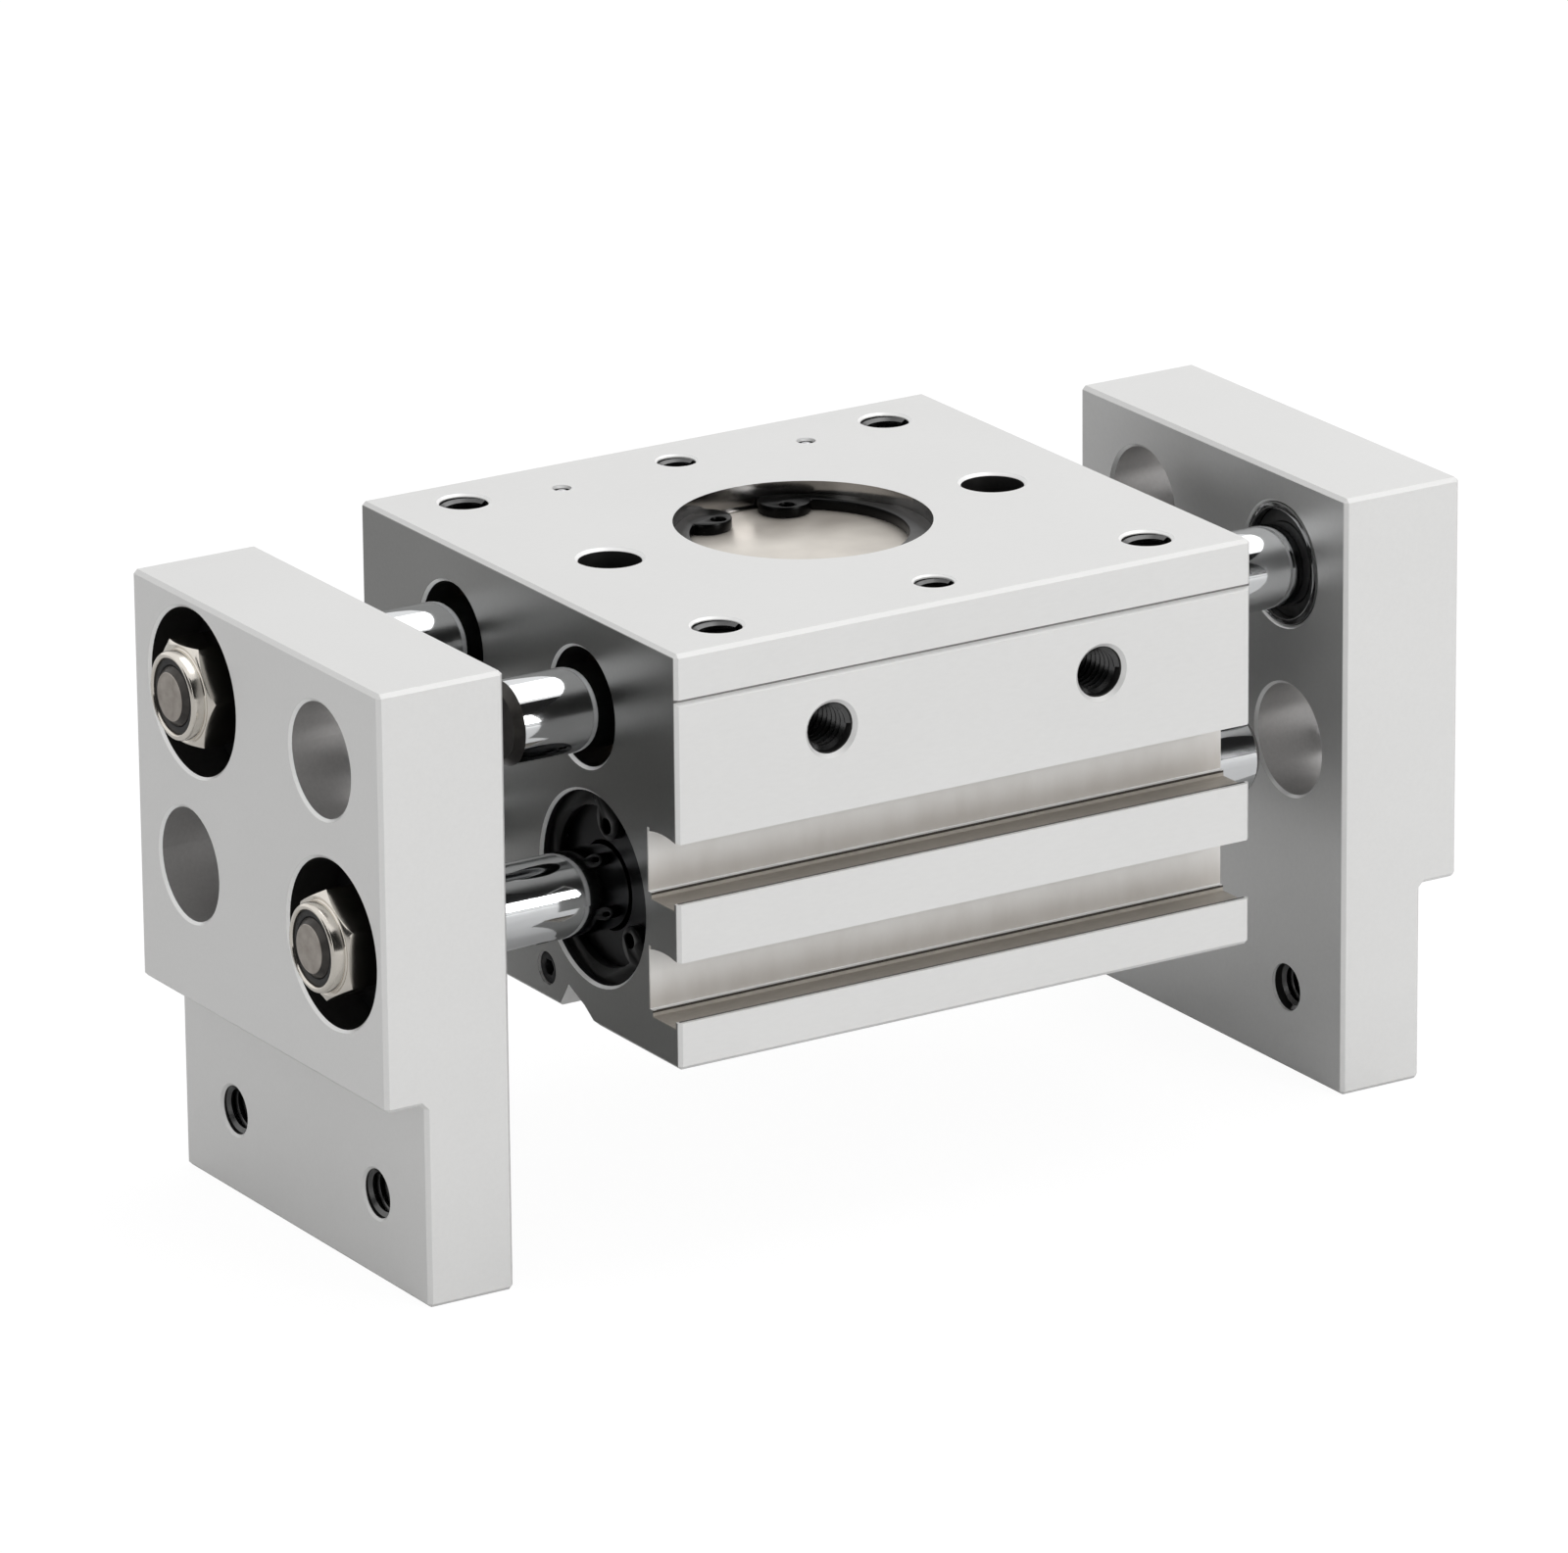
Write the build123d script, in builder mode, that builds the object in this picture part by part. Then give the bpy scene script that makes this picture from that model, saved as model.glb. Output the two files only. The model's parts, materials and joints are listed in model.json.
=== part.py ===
from build123d import *
import os
from math import atan, cos, degrees, pi, radians, sin, sqrt, tan

# Wide-opening parallel gripper with two through-going piston rods and two racks.
# Origin: centre of the pilot bore on the top mounting face. X runs along the stroke,
# -Y is the side with the air ports and the sensor grooves, +Z leaves the mounting face.
# The jaws are drawn open. The right jaw is the left one turned half a turn about Z.

# Body block. Its height is the stack of the pinion, the two rows of rods and the underside
body_length = 67.0
body_depth = 60.0
edge_break = 0.4
hole_edge_break = 0.3
mouth_angle = 90.0

# Sensor grooves and scribed line along the front
groove_height = 6.2
groove_depth = 5.3
groove_top_rise = 0.35
groove_top_above_pistons = 9.0
groove_spacing = 12.15
groove_channel_depth = 0.6
groove_lip = 0.7
groove_heel = 0.5
line_drop = 4.95
line_depth = 0.35

# Notches along the underside, one each side of the middle block
middle_block_width = 14.6
notch_height = 2.8
notch_wall_run = 1.9
notch_slope_run = 3.0
notch_slope_drop = 1.3
notch_width = 7.2

# Pilot bore, pinion cover and its snap ring
pilot_diameter = 26.0
pilot_depth = 1.4
cover_ring_thickness = 1.2
cover_ring_width = 2.0
cover_ring_groove_depth = 0.6
cover_ring_lug_length = 2.3
cover_ring_lug_diameter = 5.4
cover_ring_gap_angle = 28.0
cover_ring_facing = 92.5
cover_thickness = 2.7

# Shape that all the snap rings share: an inside circle set toward the gap, and eyed lugs
ring_eccentricity = 0.6
ring_lug_reach = 0.5
ring_eye_diameter = 1.6

# Rods: racks above, piston rods below
rod_diameter = 8.5
rack_axis_offset = 2.5
piston_spacing = 28.0
rod_row_spacing = 18.3
piston_underside = 14.2
rod_overhang = 9.7
rod_end_chamfer = 0.8
stud_diameter = 6.0
stud_stand_out = 0.5
stud_chamfer = 0.6

# Jaws
closed_gap = 0.5
jaw_stroke = 15.0
finger_width = 48.0
finger_thickness = 14.0
finger_drop = 0.3
tip_thickness = 9.6
tip_height = 21.0
clearance_hole_diameter = 11.6
finger_counterbore_diameter = 17.0
finger_counterbore_depth = 6.0
finger_recess_diameter = 12.8
finger_recess_depth = 4.0
stud_hole_clearance = 0.2
tip_hole_spacing = 28.0
tip_hole_height = 8.8
tip_thread_diameter = 5.0
tip_hole_mouth_diameter = 5.5

# Gear mesh
gear_module = 1.0
pinion_teeth = 20
pressure_angle = 20.0
root_clearance = 0.25
backlash = 0.16
pinion_height = 7.0
hub_diameter = 13.0
hub_height = 0.5
pinion_shaft_diameter = 5.0
pinion_bush_wall = 1.0
thrust_washer_thickness = 0.6
shaft_seat_depth = 3.0
shaft_cover_seat = 1.6
chamber_side_clearance = 0.5
rack_run_out = 1.0

# Cylinders
cylinder_diameter = 16.0
seat_diameter = 19.6
snap_ring_setback = 0.8
snap_ring_thickness = 1.0
snap_ring_width = 1.6
snap_ring_groove_depth = 0.5
snap_ring_lug_length = 2.6
snap_ring_lug_diameter = 4.0
snap_ring_gap_angle = 90.0
snap_ring_facing = 21.0
cover_lip_length = 2.0
cover_lip_clearance = 0.35
rod_seal_length = 3.0
rod_seal_diameter = 12.8
rod_bush_diameter = 11.0
oring_section = 1.4
oring_inset = 6.3
bumper_thickness = 1.7
bumper_side_clearance = 0.4
bumper_inner_diameter = 10.6
bumper_clearance = 0.3

# Rack bores
rack_bore_diameter = 12.0
rack_bush_setback = 4.0
rack_bush_length = 6.0

# Pistons
piston_length = 21.0
piston_seal_width = 2.2
piston_seal_inset = 1.9
piston_seal_height = 2.1
piston_land = 1.0
magnet_width = 4.8
magnet_height = 2.2
wear_ring_width = 3.4
wear_ring_height = 1.0

# Rod fastening on the finger
washer_diameter = 16.4
washer_thickness = 1.4
nut_width = 10.0
nut_hex_height = 4.8
nut_collar_diameter = 9.0
nut_collar_height = 1.8
collar_wall = 0.7
collar_base = 1.4
wiper_inset = 0.8

# Tapped holes at the outside of their threads, through holes and ports
corner_end_margin = 8.5
side_margin = 6.0
corner_thread_diameter = 5.0
corner_mouth_diameter = 5.5
corner_tap_depth = 10.0
through_end_margin = 11.0
through_diameter = 6.4
through_mouth_diameter = 7.0
centre_thread_diameter = 4.0
centre_mouth_diameter = 4.4
centre_tap_depth = 8.0
port_spacing = 31.4
port_drop = 10.7
port_thread_diameter = 5.0
port_mouth_diameter = 6.0
port_depth = 8.0
ball_spacing = 29.0
ball_margin = 7.6
ball_diameter = 2.0
ball_inset = 0.15
plug_offset = 5.1
plug_rise = 3.3
plug_diameter = 3.4
plug_length = 4.0
plug_inset = 0.25
plug_socket_width = 1.5
plug_socket_depth = 1.6

# Clearances
running_clearance = 0.04
fixed_clearance = 0.05
piston_clearance = 0.3
seal_clearance = 0.05
thrust_clearance = 0.1

SIDES = {"left": -1, "right": 1}

# Gear proportions
pitch_radius = gear_module * pinion_teeth / 2
tip_radius = pitch_radius + gear_module
root_radius = pitch_radius - gear_module - root_clearance
tooth_pitch = pi * gear_module

# Racks, each with its pitch line on the pinion's pitch circle
rod_radius = rod_diameter / 2
rack_spacing = 2 * (pitch_radius + rack_axis_offset)
rack_tip_line = pitch_radius - gear_module
rack_root_line = pitch_radius + gear_module + root_clearance
rack_rod_inside = rack_spacing / 2 - rod_radius
rack_reach = sqrt(tip_radius**2 - rack_rod_inside**2) + rack_run_out

# Stack under the mounting face: cover, washer, pinion, washer, then the rows of rods
pilot_radius = pilot_diameter / 2
cover_top = pilot_depth + cover_ring_thickness
cover_bottom = cover_top + cover_thickness
pinion_top = cover_bottom + thrust_washer_thickness + thrust_clearance + hub_height
rack_drop = pinion_top + pinion_height / 2
pinion_bottom = pinion_top + pinion_height
chamber_depth = pinion_bottom + hub_height + thrust_clearance + thrust_washer_thickness
chamber_radius = tip_radius + chamber_side_clearance
shaft_radius = pinion_shaft_diameter / 2
piston_drop = rack_drop + rod_row_spacing
body_height = piston_drop + piston_underside

# Along the stroke: the rod covers fill what the pistons and their stroke leave of the body
body_end = body_length / 2
front = -body_depth / 2
first_groove_top = piston_drop - groove_top_above_pistons
cylinder_radius = cylinder_diameter / 2
seat_radius = seat_diameter / 2
piston_end = (piston_length + jaw_stroke) / 2
piston_middle = piston_end - piston_length / 2
piston_radius = cylinder_radius - piston_clearance
rod_cover_outer = body_end - snap_ring_setback - snap_ring_thickness
rod_cover_inner = piston_end + bumper_clearance + bumper_thickness
rod_cover_length = rod_cover_outer - rod_cover_inner
rod_bush_length = rod_cover_length - cover_lip_length - rod_seal_length - fixed_clearance
free_end = body_end + rod_overhang

# Fingers and what fastens the rods in them
open_half_gap = body_end + jaw_stroke + closed_gap
finger_block_height = body_height
finger_bottom = finger_drop + finger_block_height + tip_height
finger_outer = open_half_gap + finger_thickness
rod_shoulder = open_half_gap + finger_recess_depth
counterbore_floor = finger_outer - finger_counterbore_depth
washer_outer = counterbore_floor + washer_thickness
nut_end = washer_outer + nut_hex_height + nut_collar_height
stud_length = nut_end + stud_stand_out - rod_shoulder
stud_hole_radius = stud_diameter / 2 + stud_hole_clearance

# Hole patterns
corner_spacing_x = body_length - 2 * corner_end_margin
across_spacing = body_depth - 2 * side_margin
through_spacing = body_length - 2 * through_end_margin
ball_places = [(way * ball_spacing / 2, body_depth / 2 - ball_margin) for way in SIDES.values()]
plug_place = (plug_offset, plug_rise - body_height)


def outward_plane(side, distance):
    """Plane square to the stroke that faces away from the middle, at a distance from it."""
    way = SIDES[side]
    return Plane(origin=(way * distance, 0, 0), x_dir=(0, way, 0), z_dir=(way, 0, 0))


def end_word(side, across):
    """Front or back of the body for a place across one of its ends."""
    return "front" if SIDES[side] * across < 0 else "back"


def spot(distance, angle):
    """Point in a sketch at a distance from its origin and an angle in degrees."""
    return (distance * cos(radians(angle)), distance * sin(radians(angle)))


def snap_ring_sketch(outer_radius, width, lug_length, lug_diameter, gap_angle, facing):
    """Internal snap ring: a band that narrows to its gap, with an eyed lug at each end."""
    inner_radius = outer_radius - width
    eye_middle = inner_radius - lug_length / 2
    lug_middle = inner_radius - lug_length + lug_diameter / 2
    lug_angle = gap_angle / 2 + degrees((lug_diameter / 2 - ring_lug_reach) / lug_middle)
    with BuildSketch() as ring:
        Circle(outer_radius)
        with Locations(spot(ring_eccentricity, facing)):
            Circle(inner_radius, mode=Mode.SUBTRACT)
        with BuildLine():
            Polyline(
                (0, 0),
                spot(2 * outer_radius, facing - gap_angle / 2),
                spot(2 * outer_radius, facing),
                spot(2 * outer_radius, facing + gap_angle / 2),
                (0, 0),
            )
        make_face(mode=Mode.SUBTRACT)
        for turn in (-lug_angle, lug_angle):
            with Locations(spot(lug_middle, facing + turn)):
                Circle(lug_diameter / 2)
        Circle(outer_radius, mode=Mode.INTERSECT)
        for turn in (-lug_angle, lug_angle):
            with Locations(spot(eye_middle, facing + turn)):
                Circle(ring_eye_diameter / 2, mode=Mode.SUBTRACT)
    return ring.sketch


# Places across an end of the body, seen along an outward plane: own rack, own piston rod
rack_place = (-rack_spacing / 2, -rack_drop)
piston_place = (piston_spacing / 2, -piston_drop)
free_rack_place = (rack_spacing / 2, -rack_drop)
free_piston_place = (-piston_spacing / 2, -piston_drop)

# Body block: a bar with grooves and notches along it, drilled from its ends, top and front
with BuildPart() as body_block:
    with BuildSketch(Plane.XY):
        Rectangle(body_length, body_depth)
    extrude(amount=-body_height)
    chamfer(body_block.edges(), length=edge_break)
    with BuildSketch(Plane.YZ.offset(-body_end)):
        for number in range(2):
            top = -first_groove_top - number * groove_spacing
            floor = top - groove_height
            back = front + groove_depth
            with BuildLine():
                ThreePointArc(
                    (front, top), (front + groove_depth / 2, top + groove_top_rise), (back, top)
                )
                Polyline(
                    (back, top),
                    (back, floor),
                    (back - groove_heel, floor),
                    (back - groove_heel, floor - groove_channel_depth),
                    (front + groove_lip, floor - groove_channel_depth),
                    (front + groove_lip, floor),
                    (front, floor),
                    (front, top),
                )
            make_face()
        with BuildLine():
            Polyline(
                (front, -line_drop + line_depth),
                (front + line_depth, -line_drop),
                (front, -line_drop - line_depth),
                close=True,
            )
        make_face()
        for mirrored in (-1, 1):
            near_edge = middle_block_width / 2
            apex = near_edge + notch_wall_run
            with BuildLine():
                Polyline(
                    (mirrored * near_edge, -body_height),
                    (mirrored * apex, -body_height + notch_height),
                    (mirrored * (apex + notch_slope_run), -body_height + notch_height - notch_slope_drop),
                    (mirrored * (near_edge + notch_width), -body_height),
                    close=True,
                )
            make_face()
    extrude(amount=body_length, mode=Mode.SUBTRACT)

    # Pilot bore, seat of the pinion cover, pinion chamber and shaft hole
    with Locations((0, 0, 0)):
        CounterBoreHole(chamber_radius, pilot_radius, cover_bottom, depth=chamber_depth)
        Hole(shaft_radius, depth=chamber_depth + shaft_seat_depth)
    with BuildSketch(Plane.XY.offset(-pilot_depth)):
        Circle(pilot_radius + cover_ring_groove_depth)
    extrude(amount=-cover_ring_thickness, mode=Mode.SUBTRACT)

    # Holes in the mounting face
    with GridLocations(corner_spacing_x, across_spacing, 2, 2):
        CounterSinkHole(
            corner_thread_diameter / 2,
            corner_mouth_diameter / 2,
            depth=corner_tap_depth,
            counter_sink_angle=mouth_angle,
        )
    with GridLocations(through_spacing, 1, 2, 1):
        CounterSinkHole(
            through_diameter / 2,
            through_mouth_diameter / 2,
            depth=body_height,
            counter_sink_angle=mouth_angle,
        )
    with GridLocations(1, across_spacing, 1, 2):
        CounterSinkHole(
            centre_thread_diameter / 2,
            centre_mouth_diameter / 2,
            depth=centre_tap_depth,
            counter_sink_angle=mouth_angle,
        )
    with Locations(*ball_places):
        Hole(ball_diameter / 2, depth=ball_diameter + ball_inset)

    # Air ports in the front
    with Locations(Plane(origin=(0, front, -port_drop), x_dir=(1, 0, 0), z_dir=(0, -1, 0))):
        with GridLocations(port_spacing, 1, 2, 1):
            CounterSinkHole(
                port_thread_diameter / 2,
                port_mouth_diameter / 2,
                depth=port_depth,
                counter_sink_angle=mouth_angle,
            )

    # Rack bores, cylinders with their cover seats, plug holes, edge breaks, snap ring grooves
    for side in SIDES:
        with Locations(outward_plane(side, body_end)):
            with Locations(rack_place, free_rack_place):
                Hole(rack_bore_diameter / 2, depth=body_end)
            with Locations(piston_place, free_piston_place):
                CounterBoreHole(
                    cylinder_radius, seat_radius, body_end - rod_cover_inner, depth=body_end
                )
            with Locations(plug_place):
                Hole(plug_diameter / 2, depth=plug_inset + plug_length)
        with BuildSketch(outward_plane(side, body_end)):
            with Locations(rack_place, free_rack_place):
                Circle(rack_bore_diameter / 2 + hole_edge_break)
            with Locations(piston_place, free_piston_place):
                Circle(seat_radius + hole_edge_break)
        extrude(amount=-hole_edge_break, taper=mouth_angle / 2, mode=Mode.SUBTRACT)
        with BuildSketch(outward_plane(side, body_end - snap_ring_setback)):
            with Locations(piston_place, free_piston_place):
                Circle(seat_radius + snap_ring_groove_depth)
        extrude(amount=-snap_ring_thickness, mode=Mode.SUBTRACT)
body_block.part.label = "body_block"
export_step(body_block.part, "parts/body_block.step")

# Cover plate over the pinion, with a seat for the shaft in its underside
with BuildPart() as pinion_cover:
    with BuildSketch(Plane.XY.offset(-cover_top)):
        Circle(pilot_radius - fixed_clearance)
    extrude(amount=-cover_thickness)
    with Locations((0, 0, -cover_bottom)):
        Cylinder(
            shaft_radius,
            shaft_cover_seat,
            align=(Align.CENTER, Align.CENTER, Align.MIN),
            mode=Mode.SUBTRACT,
        )
pinion_cover.part.label = "pinion_cover"
export_step(pinion_cover.part, "parts/pinion_cover.step")

# Snap ring that holds the cover
with BuildPart() as pinion_cover_ring:
    with BuildSketch(Plane.XY.offset(-pilot_depth)):
        add(
            snap_ring_sketch(
                pilot_radius + cover_ring_groove_depth - fixed_clearance,
                cover_ring_width + cover_ring_groove_depth,
                cover_ring_lug_length,
                cover_ring_lug_diameter,
                cover_ring_gap_angle,
                cover_ring_facing,
            )
        )
    extrude(amount=-cover_ring_thickness)
pinion_cover_ring.part.label = "pinion_cover_ring"
export_step(pinion_cover_ring.part, "parts/pinion_cover_ring.step")

# Shaft of the pinion, held in the chamber floor and in the cover
with BuildPart() as pinion_shaft:
    with BuildSketch(Plane.XY.offset(-cover_bottom + shaft_cover_seat)):
        Circle(shaft_radius)
    extrude(amount=-(chamber_depth + shaft_seat_depth - cover_bottom + shaft_cover_seat))
pinion_shaft.part.label = "pinion_shaft"
export_step(pinion_shaft.part, "parts/pinion_shaft.step")

# Thrust washers above and below the pinion
washer_tops = {"upper": cover_bottom, "lower": chamber_depth - thrust_washer_thickness}
for level, washer_top in washer_tops.items():
    with BuildPart() as thrust_washer:
        with BuildSketch(Plane.XY.offset(-washer_top)):
            Circle(hub_diameter / 2)
            Circle(shaft_radius + running_clearance, mode=Mode.SUBTRACT)
        extrude(amount=-thrust_washer_thickness)
    thrust_washer.part.label = level + "_thrust_washer"
    export_step(thrust_washer.part, "parts/" + level + "_thrust_washer.step")


def involute_point(radius, half_angle):
    """Point of a tooth flank at a radius, with the tooth on the sketch's Y axis."""
    base_radius = pitch_radius * cos(radians(pressure_angle))
    roll_at_pitch = tan(radians(pressure_angle)) - radians(pressure_angle)
    roll = 0.0
    if radius > base_radius:
        slope = sqrt((radius / base_radius) ** 2 - 1)
        roll = slope - atan(slope)
    angle = half_angle + roll_at_pitch - roll
    return (radius * sin(angle), radius * cos(angle))


# Pinion: involute teeth round a hub, with a plain bush pressed in
half_tooth = (tooth_pitch - backlash) / (4 * pitch_radius)
bush_outside = shaft_radius + running_clearance + pinion_bush_wall
flank_foot = involute_point(root_radius - root_clearance, half_tooth)
flank_start = involute_point(pitch_radius * cos(radians(pressure_angle)), half_tooth)
flank_middle = involute_point(pitch_radius, half_tooth)
flank_end = involute_point(tip_radius, half_tooth)
with BuildSketch() as pinion_tooth:
    with BuildLine():
        Line(flank_foot, flank_start)
        ThreePointArc(flank_start, flank_middle, flank_end)
        ThreePointArc(flank_end, (0, tip_radius), (-flank_end[0], flank_end[1]))
        ThreePointArc(
            (-flank_end[0], flank_end[1]),
            (-flank_middle[0], flank_middle[1]),
            (-flank_start[0], flank_start[1]),
        )
        Line((-flank_start[0], flank_start[1]), (-flank_foot[0], flank_foot[1]))
        Line((-flank_foot[0], flank_foot[1]), flank_foot)
    make_face()
with BuildPart() as pinion:
    with BuildSketch(Plane.XY.offset(-pinion_top)):
        Circle(root_radius)
        with PolarLocations(0, pinion_teeth):
            add(pinion_tooth.sketch)
    extrude(amount=-pinion_height)
    with BuildSketch(Plane.XY.offset(-pinion_top + hub_height)):
        Circle(hub_diameter / 2)
    extrude(amount=-(pinion_height + 2 * hub_height))
    with Locations((0, 0, -pinion_top + hub_height)):
        Hole(bush_outside, depth=pinion_height + 2 * hub_height)
pinion.part.label = "pinion"
export_step(pinion.part, "parts/pinion.step")

with BuildPart() as pinion_bush:
    with BuildSketch(Plane.XY.offset(-pinion_top + hub_height)):
        Circle(bush_outside)
        Circle(shaft_radius + running_clearance, mode=Mode.SUBTRACT)
    extrude(amount=-(pinion_height + 2 * hub_height))
pinion_bush.part.label = "pinion_bush"
export_step(pinion_bush.part, "parts/pinion_bush.step")

# Steel balls that close two drillings in the mounting face
with BuildPart() as drilling_balls:
    with Locations(*ball_places):
        with Locations((0, 0, -ball_inset - ball_diameter / 2)):
            Sphere(ball_diameter / 2)
drilling_balls.part.label = "drilling_balls"
export_step(drilling_balls.part, "parts/drilling_balls.step")

# Pieces at each end of the body
for side in SIDES:
    for place in (rack_place, free_rack_place):
        with BuildPart() as rack_bush:
            with BuildSketch(outward_plane(side, body_end - rack_bush_setback)):
                with Locations(place):
                    Circle(rack_bore_diameter / 2)
                    Circle(rod_radius + running_clearance, mode=Mode.SUBTRACT)
            extrude(amount=-rack_bush_length)
        rack_bush.part.label = side + "_" + end_word(side, place[0]) + "_rack_bush"
        export_step(rack_bush.part, "parts/" + rack_bush.part.label + ".step")

    for place in (piston_place, free_piston_place):
        word = end_word(side, place[0])
        facing = snap_ring_facing if place[0] > 0 else 180 - snap_ring_facing

        # Rod cover: lip, seal pocket, bush pocket and a groove for the ring seal outside
        with BuildPart() as rod_cover:
            with Locations(outward_plane(side, rod_cover_outer)):
                with Locations(place):
                    Cylinder(
                        seat_radius - fixed_clearance,
                        rod_cover_length,
                        align=(Align.CENTER, Align.CENTER, Align.MAX),
                    )
                    Hole(rod_radius + cover_lip_clearance, depth=rod_cover_length)
            with BuildSketch(outward_plane(side, rod_cover_outer - cover_lip_length)):
                with Locations(place):
                    Circle(rod_seal_diameter / 2)
            extrude(amount=-rod_seal_length, mode=Mode.SUBTRACT)
            with BuildSketch(outward_plane(side, rod_cover_inner)):
                with Locations(place):
                    Circle(rod_bush_diameter / 2)
            extrude(amount=rod_bush_length + fixed_clearance, mode=Mode.SUBTRACT)
            with BuildSketch(outward_plane(side, rod_cover_outer - oring_inset)):
                with Locations(place):
                    Circle(seat_radius)
                    Circle(seat_radius - oring_section - fixed_clearance, mode=Mode.SUBTRACT)
            extrude(amount=-oring_section - 2 * fixed_clearance, mode=Mode.SUBTRACT)
        rod_cover.part.label = side + "_" + word + "_rod_cover"
        export_step(rod_cover.part, "parts/" + rod_cover.part.label + ".step")

        with BuildPart() as snap_ring:
            with BuildSketch(outward_plane(side, body_end - snap_ring_setback)):
                with Locations(place):
                    add(
                        snap_ring_sketch(
                            seat_radius + snap_ring_groove_depth - fixed_clearance,
                            snap_ring_width + snap_ring_groove_depth,
                            snap_ring_lug_length,
                            snap_ring_lug_diameter,
                            snap_ring_gap_angle,
                            facing,
                        )
                    )
            extrude(amount=-snap_ring_thickness)
        snap_ring.part.label = side + "_" + word + "_snap_ring"
        export_step(snap_ring.part, "parts/" + snap_ring.part.label + ".step")

    # Bushes, lip seals, ring seals and bumpers of the two rod covers at this end
    with BuildPart() as rod_bushes:
        with BuildSketch(outward_plane(side, rod_cover_inner)):
            with Locations(piston_place, free_piston_place):
                Circle(rod_bush_diameter / 2)
                Circle(rod_radius + running_clearance, mode=Mode.SUBTRACT)
        extrude(amount=rod_bush_length)
    rod_bushes.part.label = side + "_rod_bushes"
    export_step(rod_bushes.part, "parts/" + side + "_rod_bushes.step")

    with BuildPart() as rod_seals:
        with BuildSketch(outward_plane(side, rod_cover_outer - cover_lip_length)):
            with Locations(piston_place, free_piston_place):
                Circle(rod_seal_diameter / 2 - fixed_clearance)
                Circle(rod_radius + seal_clearance, mode=Mode.SUBTRACT)
        extrude(amount=-rod_seal_length)
    rod_seals.part.label = side + "_rod_seals"
    export_step(rod_seals.part, "parts/" + side + "_rod_seals.step")

    with BuildPart() as ring_seals:
        with Locations(outward_plane(side, rod_cover_outer - oring_inset - oring_section / 2)):
            with Locations(piston_place, free_piston_place):
                Torus(seat_radius - fixed_clearance - oring_section / 2, oring_section / 2)
    ring_seals.part.label = side + "_ring_seals"
    export_step(ring_seals.part, "parts/" + side + "_ring_seals.step")

    with BuildPart() as bumpers:
        with BuildSketch(outward_plane(side, rod_cover_inner)):
            with Locations(piston_place, free_piston_place):
                Circle(cylinder_radius - bumper_side_clearance)
                Circle(bumper_inner_diameter / 2, mode=Mode.SUBTRACT)
        extrude(amount=-bumper_thickness)
    bumpers.part.label = side + "_bumpers"
    export_step(bumpers.part, "parts/" + side + "_bumpers.step")

    # Socket plug that closes a drilling below the cylinders
    with BuildPart() as end_plug:
        with Locations(outward_plane(side, body_end - plug_inset)):
            with Locations(plug_place):
                Cylinder(plug_diameter / 2, plug_length, align=(Align.CENTER, Align.CENTER, Align.MAX))
        with BuildSketch(outward_plane(side, body_end - plug_inset)):
            with Locations(plug_place):
                RegularPolygon(plug_socket_width / 2, 6, major_radius=False)
        extrude(amount=-plug_socket_depth, mode=Mode.SUBTRACT)
    end_plug.part.label = side + "_end_plug"
    export_step(end_plug.part, "parts/" + side + "_end_plug.step")

# Space between two rack teeth: straight flanks, wide at the tips and narrow at the roots
flank_slope = tan(radians(pressure_angle))
half_space = (tooth_pitch + backlash) / 4
space_outline = [
    (-half_space - gear_module * flank_slope, -rack_tip_line),
    (half_space + gear_module * flank_slope, -rack_tip_line),
    (half_space - (gear_module + root_clearance) * flank_slope, -rack_root_line),
    (-half_space + (gear_module + root_clearance) * flank_slope, -rack_root_line),
]
first_space = -round((rack_reach - rack_run_out) / tooth_pitch)
last_space = round((rack_reach - rack_run_out + jaw_stroke) / tooth_pitch)

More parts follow.
